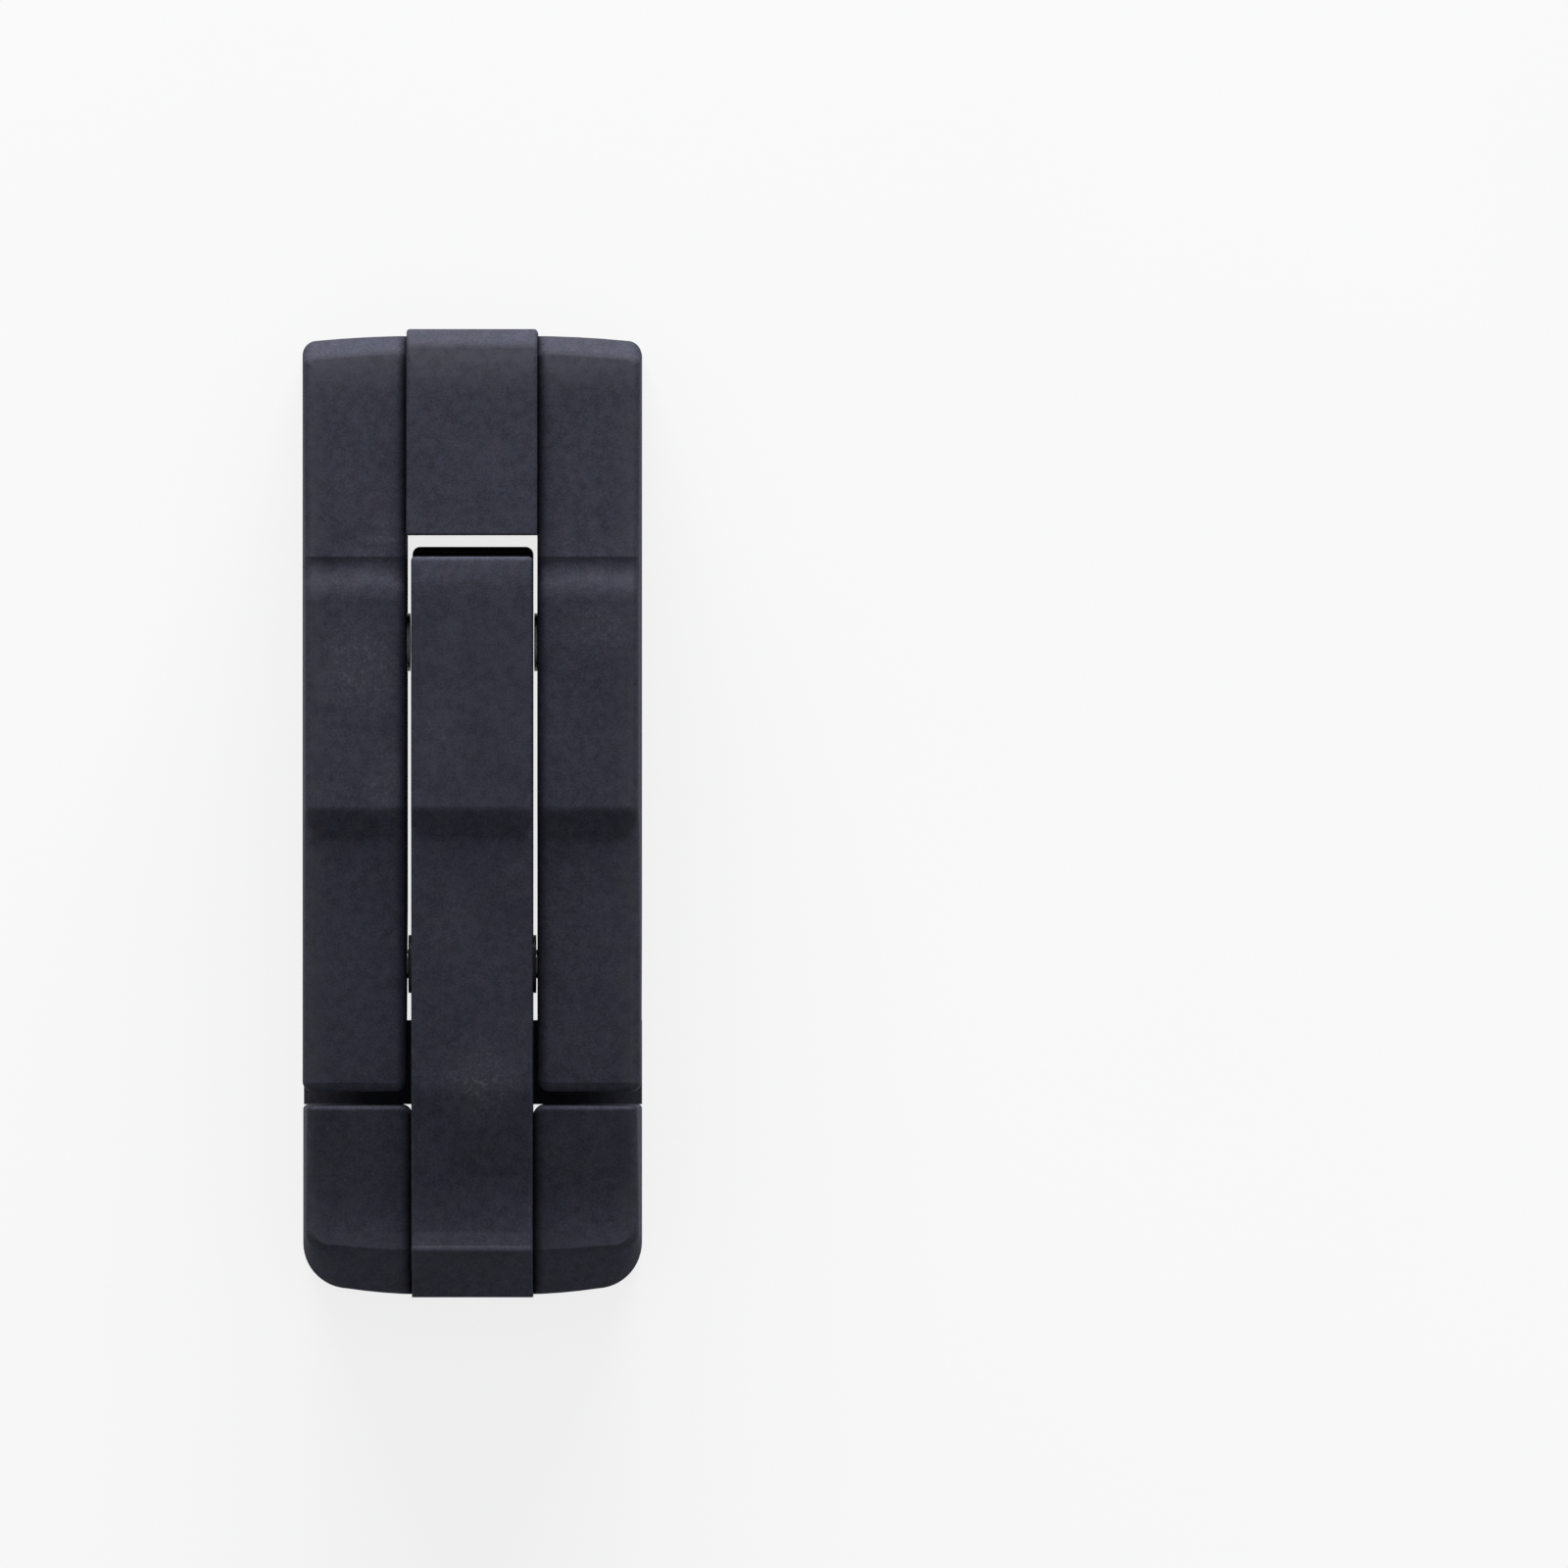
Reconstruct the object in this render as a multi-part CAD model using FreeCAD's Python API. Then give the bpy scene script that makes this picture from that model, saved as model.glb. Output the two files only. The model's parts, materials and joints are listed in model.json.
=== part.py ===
import FreeCAD, Part
import math
import os
from FreeCAD import Vector

# Folding wheel chock, folded flat: X across, Y along (head at +Y, toe at -Y), Z up.
# The origin is the middle of the rectangle that the folded chock covers, on the ground.
# All sizes are in millimetres, all angles in degrees.
os.makedirs("parts", exist_ok=True)

# Whole object
LENGTH = 200.0            # toe to head, folded
WIDTH = 70.0              # across the toe block, and across the head
BELT_RAISE = 2.6          # how far the middle belt stands over the side faces
BELT_TOP = 30.0           # highest point: the belt between its two creases
SIDE_TOP = BELT_TOP - BELT_RAISE
WALL = 2.5                # moulded wall of both shells

# Ramp: a head and two legs on each side of the base's spine
SLOT_WIDTH = 27.0
SLOT_TOP = 57.6           # Y of the slot's closed end
LEG_END = -57.4           # Y of the legs' tips
SHOULDER_BACK = 1.4       # how far the shoulders stand back from the belt's end
SHOULDER_FALL = 1.0       # how much further back the head's outer corners are
HEAD_CORNER = 3.0         # corner radius of the head, seen from above
BEVEL_FOOT = 20.0         # height where the head's bevelled end begins
BEVEL_RUN = 8.0           # the bevel leans this far, over as much height
SIDE_LEAN = 0.8           # and the sides lean this far over the same height
BELT_CHAMFER = 3.0
BELT_ROUND = 0.7          # rounding of the belts' long edges and the head's end corners
CROWN = 0.2               # how far the shoulders bulge out of a straight line
HEAD_WALL = 3.4
VALLEY = 2.4              # rounding of the side faces towards slot and belt
TIP_SOLID = 9.4           # length of the solid tip of each leg
TIP_CORNER = 2.0
TOP_ROUND = 2.0           # rounding of both shells' outer upper edges

# Base: toe block, foot plate and spine
SPINE_WIDTH = 25.0
SPINE_END = 53.0          # Y where the spine's end wall stands
LIP_END = 55.2            # Y of the low lip under the strut's seat
LIP_TOP = 4.3
TOE_BACK = -60.2          # Y of the toe block's rear wall
TOE_STEP = 0.6            # how far the belt stands out of the toe's front
TOE_FALL = 1.2            # how much further back the toe's outer corners are
TOE_CORNER = 9.5
TOE_FOOT = 12.0           # height where the toe's bevelled front begins
TOE_RISE = 12.0           # height over which the front leans back by TOE_RUN
TOE_RUN = 13.1
TOE_LEAN = 1.1            # and the sides by this much
TOE_WALL = 3.0
REAR_ROUND = 0.9          # rounding of the toe block's upper rear edge
PLATE_START = -42.8       # Y of the foot plate's rear edge
PLATE_TOP = 3.2

# Hinges
RAMP_ANGLE = 36.0         # the ramp's full rise
HINGE_Y = -31.1
HINGE_Z = 14.0
AXLE_RADIUS = 3.0
STRUT_Y = 35.4
STRUT_Z = 14.0
PIN_RADIUS = 2.5
RUN_FIT = 0.05            # radial play of a shaft in its hole
PUSH_FIT = 0.02           # radial play drawn between a push nut and its shaft
SIDE_PLAY = 0.3           # gap between pieces that move past each other
WASHER_RADIUS = 6.0

# Strut: two flat steel arms and a round crossbar
BAR_RADIUS = 3.5
ARM_THICK = 3.5
ARM_WIDTH = 9.0
ARM_INNER = 16.6          # X of the arms' inner faces
SEAT_Y = 52.3             # where the crossbar lies when the chock stands open
SEAT_Z = 8.5
SEAT_PLAY = 0.4
RIVET_RADIUS = 2.5
EYE_RADIUS = 6.0

HALF = LENGTH / 2
HALF_WIDTH = WIDTH / 2
HALF_SLOT = SLOT_WIDTH / 2
HALF_SPINE = SPINE_WIDTH / 2
CUTTER = 60.0             # longer than any thickness that a cutter has to pass
RISE = math.radians(RAMP_ANGLE)


def rounded(corners):
    """Return the outline steps of a line through (y, z, radius) corners, where each corner
    with a radius is rounded by a tangent arc."""
    steps = []
    for number, (y, z, radius) in enumerate(corners):
        if not radius:
            steps.append((y, z))
            continue
        here = Vector(0, y, z)
        back = (Vector(0, *corners[number - 1][:2]) - here).normalize()
        ahead = (Vector(0, *corners[number + 1][:2]) - here).normalize()
        turn = back.getAngle(ahead) / 2
        inwards = (back + ahead).normalize()
        middle = here + inwards * (radius / math.sin(turn) - radius)
        start = here + back * (radius / math.tan(turn))
        end = here + ahead * (radius / math.tan(turn))
        steps += [(start.y, start.z), ((middle.y, middle.z), (end.y, end.z))]
    return steps


# Top outlines, from the toe towards the head. A pair is a straight step to (y, z), and a
# pair of pairs is an arc through the first point to the second.
RAMP_TOP = [
    (LEG_END - 5, 22.8), (-3.6, 26.0), ((-2.6, 26.12), (-1.8, 26.4)), (-0.6, 26.98),
    ((0.3, 27.28), (1.5, SIDE_TOP)), (44.0, SIDE_TOP), ((46.4, 27.22), (48.4, 26.7)),
    ((50.6, 26.25), (53.0, 26.42)), (86.0, 24.5), ((91.2, 24.05), (95.6, 23.2)), (HALF + 5, 21.4),
]
SPINE_TOP = rounded([
    (TOE_BACK, 25.35, 0), (-57.0, 25.81, 30.0), (-2.7, 28.7, 5.4), (0.4, BELT_TOP, 5.5),
    (48.2, BELT_TOP, 36.0), (SPINE_END, 29.06, 1.1), (SPINE_END, SEAT_Z + 5.7, 0),
])
TOE_TOP = rounded([
    (-HALF - 5, 19.8, 0), (-80.7, 19.8, 80.0), (TOE_BACK, 22.75, 0),
])
TOE_BELT_FRONT = [(-HALF - 1, 13.2), (-91.2, 22.5), ((-90.4, 22.78), (-89.2, 22.62))]


def outline(steps, place):
    """Return the closed wire of an outline, with place giving a 3-D point for each pair."""
    edges = []
    here = steps[0]
    for step in steps[1:] + steps[:1]:
        if isinstance(step[0], tuple):
            middle, there = step
            edges.append(Part.Arc(place(here), place(middle), place(there)).toShape())
        else:
            there = step
            edges.append(Part.LineSegment(place(here), place(there)).toShape())
        here = there
    return Part.Wire(edges)


def prism_x(steps, x_from, x_to):
    """Extrude a (y, z) outline across the object."""
    face = Part.Face(outline(steps, lambda pair: Vector(x_from, pair[0], pair[1])))
    return face.extrude(Vector(x_to - x_from, 0, 0))


def prism_z(steps, z_from, z_to):
    """Extrude an (x, y) outline upwards."""
    face = Part.Face(outline(steps, lambda pair: Vector(pair[0], pair[1], z_from)))
    return face.extrude(Vector(0, 0, z_to - z_from))


def block(x_from, x_to, y_from, y_to, z_from, z_to):
    """Return a box between two corners."""
    size = (x_to - x_from, y_to - y_from, z_to - z_from)
    return Part.makeBox(*size, Vector(x_from, y_from, z_from))


def rod(radius, x_from, x_to, y, z):
    """Return a cylinder along X."""
    return Part.makeCylinder(radius, x_to - x_from, Vector(x_from, y, z), Vector(1, 0, 0))


def raised(steps, lift):
    """Return the same outline, higher by lift."""
    result = []
    for step in steps:
        if isinstance(step[0], tuple):
            result.append(tuple((y, z + lift) for y, z in step))
        else:
            result.append((step[0], step[1] + lift))
    return result


def under(steps):
    """Close a top outline down to the ground."""
    end = steps[-1][1] if isinstance(steps[-1][0], tuple) else steps[-1]
    return [(steps[0][0], 0.0)] + steps + [(end[0], 0.0)]


def mirrored(shape):
    """Return the shape on the other side of the middle plane."""
    return shape.mirror(Vector(0, 0, 0), Vector(1, 0, 0))


def both(shape):
    """Return the shape and its mirror image as a list."""
    return [shape, mirrored(shape)]


def edges_where(shape, test):
    """Return the edges whose middle point, and whose box, pass the test."""
    found = []
    for edge in shape.Edges:
        middle = edge.valueAt((edge.FirstParameter + edge.LastParameter) / 2)
        if test(middle, edge.BoundBox):
            found.append(edge)
    return found


def upright(box):
    """Tell whether an edge's box is that of an upright line."""
    return box.XLength < 0.01 and box.YLength < 0.01 and box.ZLength > 1.0


def save(name, shape):
    """Write one node and print what it measures."""
    shape = shape.removeSplitter()
    assert shape.isValid(), name
    shape.exportStep("parts/" + name + ".step")
    box = shape.optimalBoundingBox()
    print("%-22s solids %d volume %9.1f  x %.1f %.1f  y %.1f %.1f  z %.1f %.1f" % (
        name, len(shape.Solids), shape.Volume,
        box.XMin, box.XMax, box.YMin, box.YMax, box.ZMin, box.ZMax))


# Where the strut's pivot stands once the ramp is up, and what that makes the strut
RAISED_Y = HINGE_Y + (STRUT_Y - HINGE_Y) * math.cos(RISE) - (STRUT_Z - HINGE_Z) * math.sin(RISE)
RAISED_Z = HINGE_Z + (STRUT_Y - HINGE_Y) * math.sin(RISE) + (STRUT_Z - HINGE_Z) * math.cos(RISE)
STRUT_LENGTH = math.hypot(SEAT_Y - RAISED_Y, SEAT_Z - RAISED_Z)
STRUT_ANGLE = RAMP_ANGLE + math.degrees(math.atan2(RAISED_Z - SEAT_Z, SEAT_Y - RAISED_Y))
BAR_Y = STRUT_Y + STRUT_LENGTH
ARM_OUTER = ARM_INNER + ARM_THICK

# Places across the ramp's legs
RIB_INNER = ARM_OUTER + 0.6       # bearing rib outside each strut arm
RIB_OUTER = RIB_INNER + WALL
HEAD_SEAT = HALF_WIDTH - WALL     # X of the floor of the axle head's recess
HEAD_RADIUS = 5.5
HEAD_THICK = 1.9
NUT_THICK = 1.2
AXLE_BOSS = 5.5                   # radius of the bosses around the axle
HEAD_BOSS = 8.0                   # radius of the flange behind the axle head's recess
FLANGE = 3.5

# Moulded ribs, by the Y or X of their middle
RIB = 2.0
RIB_FOOT = 4.0                    # the deep ribs' lower edge
CLEAR_OF_STRUT = 20.6             # the shallow ribs' lower edge, above the folded strut
DEEP_RIBS = (-12.0, 6.0)
SHALLOW_RIBS = (52.0, 66.0, 80.0)
SPINE_RIBS = (-46.0, -14.0, 6.0, 26.0)
TOE_RIBS = (-23.0, -11.5, 11.5, 23.0)
HEAD_RIBS = (-8.0, 8.0)
TOE_MIDDLE = -80.0


def end_plan(half, y_base, y_corner, y_middle, flat, radius):
    """Return an (x, y) outline that is straight at y_base and comes to a blunt, slightly
    crowned point at y_middle, with rounded corners where its sides reach y_corner."""
    way = math.copysign(1.0, y_middle - y_base)
    turn = math.pi / 2 - math.atan2(abs(y_middle - y_corner), half - flat)
    centre_x = half - radius
    centre_y = y_corner - way * radius

    def on_arc(share, side):
        angle = turn * share
        return (side * (centre_x + radius * math.cos(angle)),
                centre_y + way * radius * math.sin(angle))

    def crown(side):
        x, y = on_arc(1, side)
        return ((x + side * flat) / 2, (y + y_middle) / 2 + way * CROWN)

    return [(-half, y_base), (half, y_base), (half, centre_y), (on_arc(0.5, 1), on_arc(1, 1)),
            (crown(1), (flat, y_middle)), (-flat, y_middle), (crown(-1), on_arc(1, -1)),
            (on_arc(0.5, -1), (-half, centre_y))]


def tapered(lower, upper, z_low, z_high):
    """Return a block that is upright up to z_low, leans in to its upper outline at z_high,
    and is upright again above it."""
    foot = prism_z(lower, 0, z_low)
    top = prism_z(upper, z_high, CUTTER)
    rims = [outline(lower, lambda pair: Vector(pair[0], pair[1], z_low)),
            outline(upper, lambda pair: Vector(pair[0], pair[1], z_high))]
    return foot.fuse([Part.makeLoft(rims, True, True), top])


def belt(top, width, y_from, y_to, bevel=0.0):
    """Return the middle belt between two Y planes, with softened long edges, and with its
    top edge at y_to bevelled."""
    form = prism_x(under(top), -width / 2, width / 2)
    form = form.common(block(-width, width, y_from, y_to, -1, CUTTER))
    if bevel:
        form = form.makeChamfer(bevel, edges_where(
            form, lambda p, box: p.y > y_to - 0.01 and p.z > 20 and box.XLength > 10))
        form = soften(form, bevel, lambda p, box: p.z > 20 and box.XLength > 10
                      and y_to - bevel - 1 < p.y < y_to - 0.1)
    return soften(form, BELT_ROUND, lambda p, box: abs(abs(p.x) - width / 2) < 0.01 and (
        upright(box) and p.y > HALF - 0.01
        or p.z > 15 and abs(p.y - y_from) > 0.01 and abs(p.y - y_to) > 0.01))


def soften(shape, radius, test):
    """Round the edges that pass the test."""
    return shape.makeFillet(radius, edges_where(shape, test))


def slot_cutter():
    """Return a cutter as wide as the ramp's slot, which passes through legs and head, and
    widens in a curve at the legs' tips."""
    flare = HALF_SLOT + TIP_CORNER
    y_flare = LEG_END + TIP_CORNER
    bend = TIP_CORNER * math.sin(math.radians(45))
    return prism_z([(-flare, LEG_END - 1), (flare, LEG_END - 1), (flare, LEG_END),
                    ((flare - bend, y_flare - bend), (HALF_SLOT, y_flare)),
                    (HALF_SLOT, HALF), (-HALF_SLOT, HALF), (-HALF_SLOT, y_flare),
                    ((bend - flare, y_flare - bend), (-flare, LEG_END))], -1, CUTTER)


def ramp_body():
    """Return the ramp's outer form, solid, before its hollow is taken out."""
    shoulder = HALF - SHOULDER_BACK
    corner = shoulder - SHOULDER_FALL
    lower = end_plan(HALF_WIDTH, LEG_END, corner, shoulder, HALF_SLOT, HEAD_CORNER)
    upper = end_plan(HALF_WIDTH - SIDE_LEAN, LEG_END, corner - BEVEL_RUN, shoulder - BEVEL_RUN,
                     HALF_SLOT, HEAD_CORNER / 2)
    body = tapered(lower, upper, BEVEL_FOOT, BEVEL_FOOT + BEVEL_RUN)
    body = body.common(prism_x(under(RAMP_TOP), -HALF_WIDTH, HALF_WIDTH))
    body = soften(body, TIP_CORNER, lambda p, box: p.y < LEG_END + 0.01 and box.ZLength > 3)
    body = soften(body, TOP_ROUND, lambda p, box: p.z > 20.5 and box.ZLength < 3 and (
        box.YLength > 0.3 and abs(p.x) > 33 or p.y < LEG_END + 0.01)
        or p.z > 22.5 and p.y > 93 and box.ZLength < 1 and box.XLength > 1)
    body = body.cut(block(-HALF_SLOT, HALF_SLOT, LEG_END, HALF, -1, CUTTER))
    body = soften(body, VALLEY, lambda p, box: p.z > BEVEL_FOOT + 0.5
                  and abs(abs(p.x) - HALF_SLOT) < 0.01 and box.ZLength < 3.9)
    middle = belt(raised(RAMP_TOP, BELT_RAISE), SLOT_WIDTH, SLOT_TOP, HALF, BELT_CHAMFER)
    return body.cut(slot_cutter()).fuse(middle)


def toe_body():
    """Return the toe block's outer form, solid."""
    front = HALF - TOE_STEP
    lower = end_plan(HALF_WIDTH, TOE_BACK, -front + TOE_FALL, -front, HALF_SPINE, TOE_CORNER)
    upper = end_plan(HALF_WIDTH - TOE_LEAN, TOE_BACK, -front + TOE_FALL + TOE_RUN,
                     -front + TOE_RUN, HALF_SPINE, 1.5)
    body = tapered(lower, upper, TOE_FOOT, TOE_FOOT + TOE_RISE)
    body = body.common(prism_x(under(TOE_TOP), -HALF_WIDTH, HALF_WIDTH))
    body = soften(body, TOP_ROUND, lambda p, box: p.z > 19 and box.ZLength < 3.2 and (
        box.YLength > 0.3 and abs(p.x) > 32 or p.y < -88 and box.XLength > 1))
    body = soften(body, REAR_ROUND, lambda p, box: p.z > 19 and p.y > TOE_BACK - 0.01
                  and box.XLength > 0.5)
    body = body.cut(block(-HALF_SPINE, HALF_SPINE, -HALF, TOE_BACK + 1, -1, CUTTER))
    body = soften(body, VALLEY, lambda p, box: p.z > TOE_FOOT + 0.5
                  and abs(abs(p.x) - HALF_SPINE) < 0.01 and box.YLength > 0.3)
    top = TOE_BELT_FRONT + raised(TOE_TOP[1:], BELT_RAISE)
    return body.fuse(belt(top, SPINE_WIDTH, -HALF, TOE_BACK))


def bevel_height(y):
    """Return the lowest Z that a leg may have at y, so that it lies on the foot plate when
    the ramp is fully up."""
    lift = PLATE_TOP + SIDE_PLAY - HINGE_Z - (y - HINGE_Y) * math.sin(RISE)
    return HINGE_Z + lift / math.cos(RISE)


def seat_point(angle):
    """Return the (y, z) point of the crossbar's seat at an angle from +Y."""
    reach = BAR_RADIUS + SEAT_PLAY
    turn = math.radians(angle)
    return (SEAT_Y + reach * math.cos(turn), SEAT_Z + reach * math.sin(turn))


def ramp_hollow():
    """Return the room under the ramp: one in each leg, joined under the head."""
    ceiling = prism_x(under(raised(RAMP_TOP, -WALL)), -HALF_WIDTH, HALF_WIDTH)
    corner = HALF - SHOULDER_BACK - SHOULDER_FALL
    end = corner - HEAD_WALL
    slope = corner + BEVEL_FOOT - WALL * math.sqrt(2)
    ceiling = ceiling.cut(prism_x([(HALF, slope - HALF), (HALF, CUTTER), (slope - CUTTER, CUTTER)],
                                  -HALF_WIDTH, HALF_WIDTH))
    tip = LEG_END + TIP_SOLID
    rooms = both(block(HALF_SLOT + WALL, HALF_WIDTH - WALL, tip, end, 0, CUTTER))
    rooms.append(block(-HALF_SLOT - WALL, HALF_SLOT + WALL, SLOT_TOP + WALL, end, 0, CUTTER))
    return rooms[0].fuse(rooms[1:]).common(ceiling)


def leg_fittings():
    """Return what is moulded inside one leg: the axle's boss, the bearing rib outside the
    strut arm, and the stiffening ribs."""
    inner = HALF_SLOT
    boss = rod(AXLE_BOSS, inner, HALF_WIDTH - WALL, HINGE_Y, HINGE_Z)
    flange = rod(HEAD_BOSS, HEAD_SEAT - FLANGE, HALF_WIDTH - 1, HINGE_Y, HINGE_Z)
    pieces = [boss, flange]
    rib_end = STRUT_Y + 2 * EYE_RADIUS
    pieces.append(block(RIB_INNER, RIB_OUTER, STRUT_Y - 2 * EYE_RADIUS, rib_end,
                        STRUT_Z - EYE_RADIUS, SIDE_TOP))
    for y in DEEP_RIBS:
        pieces.append(block(inner, HALF_WIDTH - 1, y - RIB / 2, y + RIB / 2, RIB_FOOT, SIDE_TOP))
    for y in SHALLOW_RIBS:
        pieces.append(block(inner, HALF_WIDTH - 1, y - RIB / 2, y + RIB / 2,
                            CLEAR_OF_STRUT, SIDE_TOP))
    return pieces


def ramp_shell():
    """Return the ramp: head and two legs, moulded in one piece and hollow underneath."""
    body = ramp_body()
    fittings = leg_fittings()
    for x in HEAD_RIBS:
        fittings.append(block(x - RIB / 2, x + RIB / 2, SLOT_TOP, HALF - HEAD_WALL,
                              CLEAR_OF_STRUT, SIDE_TOP))
    ribs = fittings[0].fuse(fittings[1:] + [mirrored(piece) for piece in fittings])
    shell = body.cut(ramp_hollow().cut(ribs))
    low = bevel_height(LEG_END - 5)
    shell = shell.cut(prism_x([(LEG_END - 5, -1), (LEG_END - 5, low),
                               (HINGE_Y + (HINGE_Z - PLATE_TOP) / math.tan(RISE), -1)],
                              -HALF_WIDTH, HALF_WIDTH))
    shell = shell.cut(rod(AXLE_RADIUS + RUN_FIT, -HALF_WIDTH - 1, HALF_WIDTH + 1, HINGE_Y, HINGE_Z))
    recess = rod(HEAD_RADIUS + 0.5, HEAD_SEAT, HALF_WIDTH + 1, HINGE_Y, HINGE_Z)
    pin_hole = rod(PIN_RADIUS + RUN_FIT, HALF_SLOT - 1, RIB_OUTER + 1, STRUT_Y, STRUT_Z)
    return shell.cut(both(recess) + both(pin_hole))


def base_shell():
    """Return the base: toe block, foot plate and spine, moulded in one piece."""
    side = SPINE_TOP + [
        seat_point(125), (seat_point(190), seat_point(262)),
        (SPINE_END - 0.5, LIP_TOP), (LIP_END, LIP_TOP), (LIP_END, 0.0)]
    spine = prism_x([(TOE_BACK, 0.0)] + side, -HALF_SPINE, HALF_SPINE)
    spine = soften(spine, 1.6, lambda p, box: upright(box) and p.y > LIP_END - 0.01)
    spine = soften(spine, 0.8, lambda p, box: abs(abs(p.x) - HALF_SPINE) < 0.01
                   and p.z > 25 and p.y > TOE_BACK + 0.1)
    plate = block(-HALF_WIDTH, HALF_WIDTH, TOE_BACK, PLATE_START, 0, PLATE_TOP)
    toe = toe_body()
    shell = toe.fuse([plate, spine])

    inner = -HALF + TOE_STEP + TOE_WALL
    toe_room = end_plan(HALF_WIDTH - TOE_WALL, TOE_BACK - TOE_WALL, inner + TOE_FALL, inner,
                        HALF_SPINE, TOE_CORNER - TOE_WALL)
    toe_room = prism_z(toe_room, 0, CUTTER).common(
        prism_x(under(raised(TOE_TOP, -TOE_WALL)), -HALF_WIDTH, HALF_WIDTH))
    slant = TOE_WALL * math.hypot(TOE_RUN, TOE_RISE) / TOE_RISE
    y_foot = -HALF + TOE_STEP + TOE_FALL + slant
    toe_room = toe_room.cut(prism_x([
        (y_foot - TOE_RUN, TOE_FOOT - TOE_RISE), (y_foot + 2 * TOE_RUN, TOE_FOOT + 2 * TOE_RISE),
        (y_foot - TOE_RUN, TOE_FOOT + 2 * TOE_RISE)], -HALF_WIDTH, HALF_WIDTH))
    seat_wall = SEAT_Y - BAR_RADIUS - SEAT_PLAY - WALL
    spine_room = block(-HALF_SPINE + WALL, HALF_SPINE - WALL, TOE_BACK + WALL, seat_wall,
                       0, CUTTER)
    spine_room = spine_room.common(prism_x(
        under(raised(SPINE_TOP[:-1], -WALL)), -WIDTH, WIDTH))
    rooms = toe_room.fuse(spine_room)

    ribs = [rod(AXLE_BOSS, -HALF_SPINE, HALF_SPINE, HINGE_Y, HINGE_Z)]
    for y in SPINE_RIBS:
        ribs.append(block(-HALF_SPINE, HALF_SPINE, y - RIB / 2, y + RIB / 2, RIB_FOOT, SIDE_TOP))
    for x in TOE_RIBS:
        ribs.append(block(x - RIB / 2, x + RIB / 2, -HALF, TOE_BACK, 0, CUTTER))
    ribs.append(block(-HALF_WIDTH, HALF_WIDTH, TOE_MIDDLE - RIB / 2, TOE_MIDDLE + RIB / 2,
                      0, CUTTER))
    shell = shell.cut(rooms.cut(ribs[0].fuse(ribs[1:])))
    return shell.cut(rod(AXLE_RADIUS + RUN_FIT, -HALF_WIDTH, HALF_WIDTH, HINGE_Y, HINGE_Z))


def main_axle():
    """Return the headed steel pin that the ramp turns on."""
    seat = HEAD_SEAT + SIDE_PLAY
    shank = rod(AXLE_RADIUS, -seat - HEAD_THICK + 0.3, seat, HINGE_Y, HINGE_Z)
    head = rod(HEAD_RADIUS, seat, seat + HEAD_THICK, HINGE_Y, HINGE_Z)
    head = soften(head, 0.6, lambda p, box: p.x > seat + HEAD_THICK - 0.01)
    return shank.fuse(head)


def push_nut(radius, shaft, x_near, x_far, y, z):
    """Return a sprung retaining ring, pushed on the end of a shaft."""
    ring = rod(radius, min(x_near, x_far), max(x_near, x_far), y, z)
    ring = soften(ring, 0.4, lambda p, box: abs(p.x - x_far) < 0.01)
    return ring.cut(rod(shaft + PUSH_FIT, -WIDTH, WIDTH, y, z))


def axle_push_nut():
    """Return the ring that holds the axle at its left end."""
    near = -HEAD_SEAT - SIDE_PLAY
    return push_nut(HEAD_RADIUS, AXLE_RADIUS, near, near - NUT_THICK, HINGE_Y, HINGE_Z)


def thrust_washer():
    """Return the right-hand washer in the gap between spine and leg."""
    ring = rod(WASHER_RADIUS, HALF_SPINE, HALF_SLOT - SIDE_PLAY, HINGE_Y, HINGE_Z)
    return ring.cut(rod(AXLE_RADIUS + RUN_FIT, 0, WIDTH, HINGE_Y, HINGE_Z))


def strut_pin():
    """Return the right-hand pin of the strut, with its flat head in the gap."""
    head = rod(WASHER_RADIUS, HALF_SPINE + SIDE_PLAY, HALF_SLOT, STRUT_Y, STRUT_Z)
    return head.fuse(rod(PIN_RADIUS, HALF_SLOT, RIB_OUTER + 1.8, STRUT_Y, STRUT_Z))


def pin_push_nut():
    """Return the ring that holds the right-hand strut pin."""
    return push_nut(4.5, PIN_RADIUS, RIB_OUTER, RIB_OUTER + NUT_THICK, STRUT_Y, STRUT_Z)


def strut_arm():
    """Return the right-hand flat arm of the strut."""
    bar = block(ARM_INNER, ARM_OUTER, STRUT_Y, BAR_Y, STRUT_Z - ARM_WIDTH / 2,
                STRUT_Z + ARM_WIDTH / 2)
    eye = rod(EYE_RADIUS, ARM_INNER, ARM_OUTER, STRUT_Y, STRUT_Z)
    end = rod(ARM_WIDTH / 2, ARM_INNER, ARM_OUTER, BAR_Y, STRUT_Z)
    arm = bar.fuse([eye, end])
    arm = arm.cut(rod(PIN_RADIUS + RUN_FIT, 0, WIDTH, STRUT_Y, STRUT_Z))
    return arm.cut(rod(RIVET_RADIUS + PUSH_FIT, 0, WIDTH, BAR_Y, STRUT_Z))


def strut_crossbar():
    """Return the round bar between the arms, riveted through both."""
    rivet_end = ARM_OUTER + 0.3
    bar = rod(BAR_RADIUS, -ARM_INNER, ARM_INNER, BAR_Y, STRUT_Z)
    return bar.fuse(rod(RIVET_RADIUS, -rivet_end, rivet_end, BAR_Y, STRUT_Z))


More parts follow.
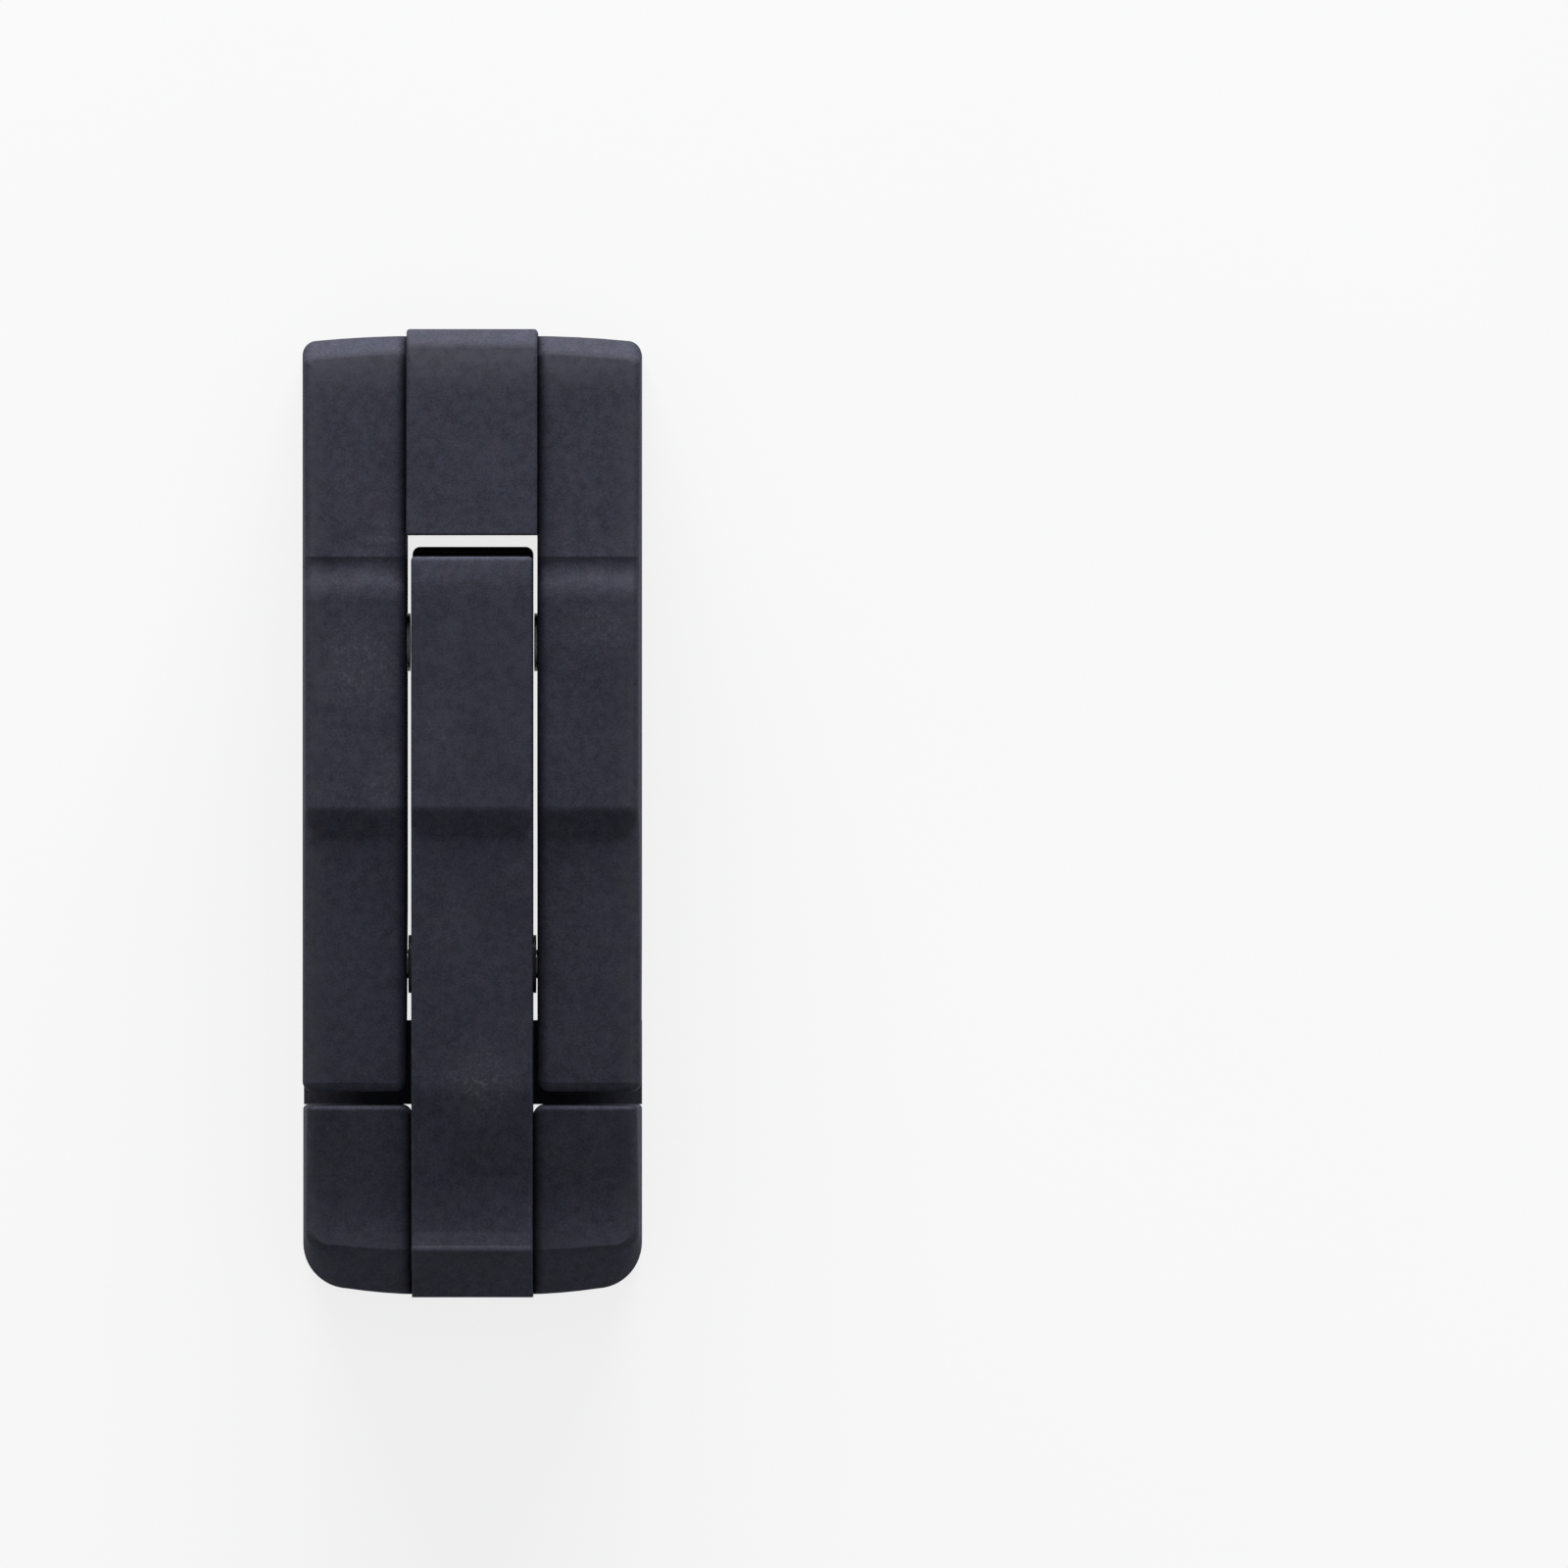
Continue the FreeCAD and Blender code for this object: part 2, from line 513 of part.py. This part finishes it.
SUBPARTS = {
    "base_shell": base_shell(),
    "main_axle": main_axle(),
    "axle_push_nut": axle_push_nut(),
    "ramp_shell": ramp_shell(),
    "strut_crossbar": strut_crossbar(),
}
PAIRS = {
    "thrust_washer": thrust_washer(),
    "strut_pin": strut_pin(),
    "pin_push_nut": pin_push_nut(),
    "strut_arm": strut_arm(),
}
for node, shape in SUBPARTS.items():
    save(node, shape)
for node, shape in PAIRS.items():
    save(node + "_right", shape)
    save(node + "_left", mirrored(shape))
print("strut: length %.2f mm, bar at y %.2f, full swing %.2f degrees" % (
    STRUT_LENGTH, BAR_Y, STRUT_ANGLE))
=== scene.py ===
"""A folding wheel chock, folded flat on a pale light table and seen from straight above."""

import json

import bpy
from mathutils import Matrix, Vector


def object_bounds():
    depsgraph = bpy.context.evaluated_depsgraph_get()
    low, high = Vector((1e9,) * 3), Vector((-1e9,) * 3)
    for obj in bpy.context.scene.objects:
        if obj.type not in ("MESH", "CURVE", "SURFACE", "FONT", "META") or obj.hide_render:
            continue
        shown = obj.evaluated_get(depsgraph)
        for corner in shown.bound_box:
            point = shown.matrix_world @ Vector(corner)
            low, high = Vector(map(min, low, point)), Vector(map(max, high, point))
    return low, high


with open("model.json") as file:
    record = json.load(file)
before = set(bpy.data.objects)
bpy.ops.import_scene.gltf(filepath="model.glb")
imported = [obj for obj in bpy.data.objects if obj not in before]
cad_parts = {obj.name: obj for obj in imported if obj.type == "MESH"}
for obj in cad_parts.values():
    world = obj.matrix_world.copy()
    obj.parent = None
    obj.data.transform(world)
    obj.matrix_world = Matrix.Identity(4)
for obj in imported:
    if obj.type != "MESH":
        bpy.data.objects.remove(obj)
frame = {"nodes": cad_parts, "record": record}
cad_low, cad_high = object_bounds()

MM = 0.001

# Camera: straight down through a long lens, with the chock left of the picture's middle
VIEW_WIDTH = 323.2 * MM
CAMERA_HEIGHT = 6.0
CAMERA_ASIDE = Vector((64.4 * MM, 6.1 * MM))
SENSOR = 36.0

# Light: a wide softbox low beyond the head, an even sky, and a floor that glows
FLOOR_SIDE = 12.0
FLOOR_DROP = 0.02 * MM    # keeps the floor clear of the faces that lie on it
FLOOR_GLOW = 0.80
SKY = 0.44
KEY_POWER = 548.0
KEY_PLACE = (0.0, 4.0, 0.72)
KEY_SIZE = (4.0, 0.7)

# Places where the plastic is scuffed: middle and half widths along X and Y in millimetres,
# and strength
RAMP_SCUFFS = (
    ((-24.0, 30.0), (13.0, 14.0), 0.8), ((-17.0, 6.0), (7.0, 14.0), 0.7),
    ((26.0, 38.0), (10.0, 7.0), 0.7), ((-22.0, 52.0), (9.0, 6.0), 0.5),
    ((-19.0, 56.5), (6.0, 1.6), 0.9), ((20.0, -22.0), (12.0, 16.0), 0.35),
)
BASE_SCUFFS = (
    ((2.0, -55.0), (10.0, 11.0), 1.0), ((-3.0, -22.0), (7.0, 12.0), 0.4),
    ((-22.0, -72.0), (12.0, 8.0), 0.35), ((20.0, -70.0), (10.0, 7.0), 0.3),
)


def rgb(red, green, blue):
    """Return a colour with full alpha."""
    return (red, green, blue, 1.0)


# The two tints that the plastic wanders between
VIOLET = rgb(0.0314, 0.0303, 0.0432)
BLUE = rgb(0.0284, 0.0305, 0.0442)

# The plastic's other colours: dust in the scuffs, a painted highlight on the rims and ends, and
# rubbed edges
DUST = rgb(0.115, 0.115, 0.128)
# Lighter colour of the painted highlight on the rims and ends
RIM_HIGHLIGHT = rgb(0.045, 0.045, 0.053)
RUBBED = rgb(0.070, 0.070, 0.082)

# Metal colours
ZINC = rgb(0.52, 0.52, 0.54)
ZINC_DARK = rgb(0.36, 0.36, 0.38)
STRUT_GREY = rgb(0.50, 0.50, 0.51)
SPRING_GREY = rgb(0.26, 0.26, 0.29)
SPRING_DARK = rgb(0.14, 0.14, 0.16)
DULL_SPOT = rgb(0.16, 0.155, 0.15)

# Shine of the plastic, and how far its painted highlight on the rims reaches from the middle
# planes
PLASTIC_SHINE = 0.07
RIM_ASIDE = (28.5 * MM, 34.5 * MM)
RIM_ALONG = (82.0 * MM, 98.0 * MM)

# Relief, and the radii over which edges look rounded and rubbed
GRAIN_DEPTH = 0.014 * MM
SWELL_DEPTH = 0.04 * MM
PLATING_DEPTH = 0.006 * MM
FLOOR_DEPTH = 0.01 * MM
EDGE_ROUND = 0.35 * MM
RUB_REACH = 0.5 * MM
BEVEL_SAMPLES = 6


class Material:
    """A node material, built by short calls."""

    def __init__(self, name):
        self.data = bpy.data.materials.new(name)
        self.data.use_nodes = True
        self.tree = self.data.node_tree
        self.shader = self.tree.nodes["Principled BSDF"]
        self.place = self.add("ShaderNodeTexCoord").outputs["Object"]

    def add(self, kind, inputs=None, **settings):
        """Add a node. Inputs are values or other nodes' outputs, by socket name or number."""
        node = self.tree.nodes.new(kind)
        for key, value in settings.items():
            setattr(node, key, value)
        for key, value in (inputs or {}).items():
            self.feed(node.inputs[key], value)
        return node

    def feed(self, socket, value):
        """Give a socket a value or a link."""
        if isinstance(value, bpy.types.NodeSocket):
            self.tree.links.new(value, socket)
        else:
            socket.default_value = value

    def noise(self, per_metre, detail=3.0, stretch=None, shift=(0, 0, 0), roughness=0.55):
        """Return a noise value with about per_metre features to the metre."""
        place = self.place
        if stretch or any(shift):
            place = self.add("ShaderNodeMapping", {
                "Vector": place, "Scale": stretch or (1, 1, 1), "Location": shift}).outputs[0]
        return self.add("ShaderNodeTexNoise", {
            "Vector": place, "Scale": per_metre, "Detail": detail,
            "Roughness": roughness}).outputs["Fac"]

    def spread(self, value, low, high, out_low=0.0, out_high=1.0):
        """Map a value from low..high to out_low..out_high, clamped and smooth."""
        return self.add("ShaderNodeMapRange", {
            "Value": value, "From Min": low, "From Max": high, "To Min": out_low,
            "To Max": out_high}, interpolation_type="SMOOTHSTEP").outputs[0]

    def math(self, operation, *values):
        """Return the result of a math node."""
        return self.add("ShaderNodeMath", dict(enumerate(values)), operation=operation).outputs[0]

    def blend(self, factor, colour_a, colour_b):
        """Mix two colours."""
        node = self.add("ShaderNodeMix", data_type="RGBA")
        for socket, value in zip((node.inputs[0], node.inputs[6], node.inputs[7]),
                                 (factor, colour_a, colour_b)):
            self.feed(socket, value)
        return node.outputs[2]

    def scale(self, colour, factor):
        """Make a colour lighter or darker."""
        return self.add("ShaderNodeVectorMath", {0: colour, "Scale": factor},
                        operation="SCALE").outputs[0]

    def bump(self, height, depth, before=None):
        """Return a normal that a height of 0..1 raises by depth metres."""
        inputs = {"Height": height, "Distance": depth, "Strength": 1.0}
        if before is not None:
            inputs["Normal"] = before
        return self.add("ShaderNodeBump", inputs).outputs[0]

    def edges(self, radius):
        """Return 0 on flat surfaces, rising to 1 where the surface bends within radius."""
        rounded = self.add("ShaderNodeBevel", {"Radius": radius}, samples=BEVEL_SAMPLES).outputs[0]
        normal = self.add("ShaderNodeNewGeometry").outputs["Normal"]
        facing = self.add("ShaderNodeVectorMath", {0: rounded, 1: normal},
                          operation="DOT_PRODUCT").outputs["Value"]
        return self.spread(facing, 0.995, 0.86)

    def upward(self):
        """Return 1 on surfaces that face up."""
        normal = self.add("ShaderNodeTexCoord").outputs["Normal"]
        height = self.add("ShaderNodeSeparateXYZ", {0: normal}).outputs["Z"]
        return self.spread(height, 0.75, 0.97)

    def outwards(self, axis, start, end):
        """Return 0 up to a distance from the middle plane, rising to 1 at another."""
        along = self.add("ShaderNodeSeparateXYZ", {0: self.place}).outputs[axis]
        return self.spread(self.math("ABSOLUTE", along), start, end)

    def spots(self, places):
        """Return soft elliptic spots, one for each (middle, half widths, strength)."""
        total = 0.0
        for middle, half, strength in places:
            shifted = self.add("ShaderNodeVectorMath", {
                0: self.place, 1: (middle[0] * MM, middle[1] * MM, 0)}, operation="SUBTRACT")
            scaled = self.add("ShaderNodeVectorMath", {
                0: shifted.outputs[0], 1: (1 / (half[0] * MM), 1 / (half[1] * MM), 0)},
                operation="MULTIPLY")
            far = self.add("ShaderNodeVectorMath", {0: scaled.outputs[0]}, operation="LENGTH")
            spot = self.spread(far.outputs["Value"], 1.0, 0.25, 0.0, strength)
            total = self.math("MAXIMUM", total, spot)
        return total

    def finish(self, colour, roughness, normal):
        """Connect the three varying inputs of the shader."""
        self.feed(self.shader.inputs["Base Color"], colour)
        self.feed(self.shader.inputs["Roughness"], roughness)
        self.feed(self.shader.inputs["Normal"], normal)
        return self.data


def moulded_plastic(name, scuffs):
    """Matte blue-black plastic: fine spark-eroded grain, soft mottling, dust, a painted highlight
    on the rims and ends, rubbed edges.
    """
    m = Material(name)
    m.shader.inputs["Specular IOR Level"].default_value = PLASTIC_SHINE
    blotch = m.noise(60, detail=4)
    mottle = m.noise(480, detail=4, shift=(0.3, 0.1, 0))
    speckle = m.noise(2600, detail=2, shift=(0.4, 0.0, 0.6))
    grain = m.noise(3600, detail=2)
    hue = m.spread(m.noise(260, detail=5, shift=(0.9, 0.3, 0.1)), 0.36, 0.64)
    tone = m.math("ADD", m.math("MULTIPLY", m.spread(blotch, 0.3, 0.7), 0.15),
                  m.math("ADD", m.math("MULTIPLY", m.spread(mottle, 0.3, 0.7), 0.30),
                         m.math("MULTIPLY", m.spread(speckle, 0.3, 0.7), 0.42)))
    colour = m.scale(m.blend(hue, VIOLET, BLUE), m.math("ADD", tone, 0.57))
    patches = m.spread(m.noise(48, detail=2, shift=(0.7, 0.2, 0.4)), 0.55, 0.72, 0.0, 0.30)
    worn = m.math("MAXIMUM", patches, m.spots(scuffs))
    specks = m.spread(m.noise(1300, detail=4, shift=(0.1, 0.5, 0.2)), 0.50, 0.72, 0.20, 1.0)
    haze = m.math("MULTIPLY", m.math("MULTIPLY", worn, specks), m.upward())
    colour = m.blend(m.math("MULTIPLY", haze, 0.42), colour, DUST)
    # Painted highlight: upward faces turn lighter towards the outer rims and the ends, in noisy
    # patches
    rim = m.math("MAXIMUM", m.outwards("X", *RIM_ASIDE), m.outwards("Y", *RIM_ALONG))
    painted_highlight = m.math("MULTIPLY", rim, m.spread(m.noise(420, detail=4), 0.3, 0.7, 0.25, 0.75))
    colour = m.blend(m.math("MULTIPLY", painted_highlight, m.upward()), colour, RIM_HIGHLIGHT)
    rub = m.math("MULTIPLY", m.edges(RUB_REACH), m.spread(m.noise(260, detail=3), 0.35, 0.6, 0.35))
    colour = m.blend(m.math("MULTIPLY", rub, 0.30), colour, RUBBED)
    roughness = m.spread(m.math("ADD", m.math("MULTIPLY", mottle, 0.6),
                                m.math("MULTIPLY", blotch, 0.4)), 0.3, 0.7, 0.64, 0.78)
    roughness = m.math("SUBTRACT", roughness, m.math("MULTIPLY", rub, 0.12))
    rounded = m.add("ShaderNodeBevel", {"Radius": EDGE_ROUND}, samples=BEVEL_SAMPLES).outputs[0]
    normal = m.bump(m.noise(70, detail=1), SWELL_DEPTH, rounded)
    normal = m.bump(grain, GRAIN_DEPTH, normal)
    return m.finish(colour, roughness, normal)


def smooth_nylon():
    """Black nylon of the thrust washers: smooth, with a faint random mottle."""
    m = Material("smooth_nylon")
    tone = m.noise(700, detail=3)
    colour = m.blend(tone, rgb(0.020, 0.020, 0.024), rgb(0.034, 0.034, 0.040))
    roughness = m.spread(m.noise(400), 0.3, 0.7, 0.38, 0.52)
    return m.finish(colour, roughness, m.bump(m.noise(1800, detail=2), PLATING_DEPTH))


def plated_steel(name, light, dark, rough_low, rough_high, stretch):
    """Metal with a mottled plating, rolling marks along one way and a few dull spots."""
    m = Material(name)
    m.shader.inputs["Metallic"].default_value = 1.0
    spangle = m.noise(900, detail=3)
    marks = m.noise(2600, detail=4, stretch=stretch)
    spots = m.spread(m.noise(300, detail=5, shift=(0.2, 0.9, 0.1)), 0.60, 0.68)
    tone = m.math("ADD", m.math("MULTIPLY", spangle, 0.5), m.math("MULTIPLY", marks, 0.5))
    colour = m.blend(m.spread(tone, 0.35, 0.65), dark, light)
    colour = m.blend(m.math("MULTIPLY", spots, 0.5), colour, DULL_SPOT)
    roughness = m.spread(marks, 0.3, 0.7, rough_low, rough_high)
    roughness = m.math("ADD", roughness, m.math("MULTIPLY", spots, 0.2))
    return m.finish(colour, roughness, m.bump(marks, PLATING_DEPTH))


def set_material(names, material):
    """Give CAD nodes a material in every slot."""
    for name in names:
        data = frame["nodes"][name].data
        data.materials.clear()
        data.materials.append(material)


def dress():
    """Give every CAD node its material."""
    slot_of = {part["node"]: part["material_slot"] for part in frame["record"]["subparts"]}
    made = {
        "washer_plastic": smooth_nylon(),
        "pin_steel": plated_steel("pin_steel", ZINC, ZINC_DARK, 0.30, 0.46, (1, 1, 1)),
        "spring_steel": plated_steel("spring_steel", SPRING_GREY, SPRING_DARK,
                                     0.32, 0.50, (1, 1, 1)),
        "strut_steel": plated_steel("strut_steel", STRUT_GREY, ZINC_DARK,
                                    0.34, 0.52, (1.0, 0.06, 1.0)),
    }
    for slot, material in made.items():
        set_material([node for node in frame["nodes"] if slot_of[node] == slot], material)
    set_material(["ramp_shell"], moulded_plastic("ramp_plastic", RAMP_SCUFFS))
    set_material(["base_shell"], moulded_plastic("base_plastic", BASE_SCUFFS))


def make_floor():
    """Lay a large pale floor that glows a little, as a light table does."""
    bpy.ops.mesh.primitive_plane_add(size=FLOOR_SIDE, location=(0, 0, -FLOOR_DROP))
    floor = bpy.context.object
    floor.name = "floor"
    m = Material("pale_floor")
    m.shader.inputs["Emission Strength"].default_value = FLOOR_GLOW
    m.shader.inputs["Emission Color"].default_value = rgb(1.0, 1.0, 1.0)
    colour = m.blend(m.noise(6, detail=2), rgb(0.12, 0.12, 0.12), rgb(0.14, 0.14, 0.14))
    floor.data.materials.append(m.finish(colour, 0.8, m.bump(m.noise(300), FLOOR_DEPTH)))


def softbox(name, place, aim, width, height, power):
    """Hang an area light that looks at a point."""
    data = bpy.data.lights.new(name, "AREA")
    data.shape = "RECTANGLE"
    data.size, data.size_y = width, height
    data.energy = power
    lamp = bpy.data.objects.new(name, data)
    lamp.location = place
    way = Vector(aim) - Vector(place)
    lamp.rotation_mode = "QUATERNION"
    lamp.rotation_quaternion = way.to_track_quat("-Z", "Y")
    bpy.context.scene.collection.objects.link(lamp)


def light():
    """Light the scene: an even sky, and a stronger soft light from beyond the head."""
    world = bpy.data.worlds.new("studio")
    world.use_nodes = True
    sky = world.node_tree.nodes["Background"]
    sky.inputs["Color"].default_value = rgb(0.97, 0.98, 1.0)
    sky.inputs["Strength"].default_value = SKY
    bpy.context.scene.world = world
    softbox("key_light", KEY_PLACE, (0, 0, cad_high.z / 2), *KEY_SIZE, KEY_POWER)


def make_camera():
    """Look straight down, with +Y up in the picture."""
    data = bpy.data.cameras.new("camera")
    data.sensor_width = SENSOR
    data.lens = SENSOR * (CAMERA_HEIGHT - cad_high.z) / VIEW_WIDTH
    camera = bpy.data.objects.new("camera", data)
    middle = (cad_low + cad_high) / 2
    camera.location = (middle.x + CAMERA_ASIDE.x, middle.y + CAMERA_ASIDE.y, CAMERA_HEIGHT)
    bpy.context.scene.collection.objects.link(camera)
    bpy.context.scene.camera = camera


bpy.context.scene.view_settings.view_transform = "Standard"
make_camera()
make_floor()
light()
dress()
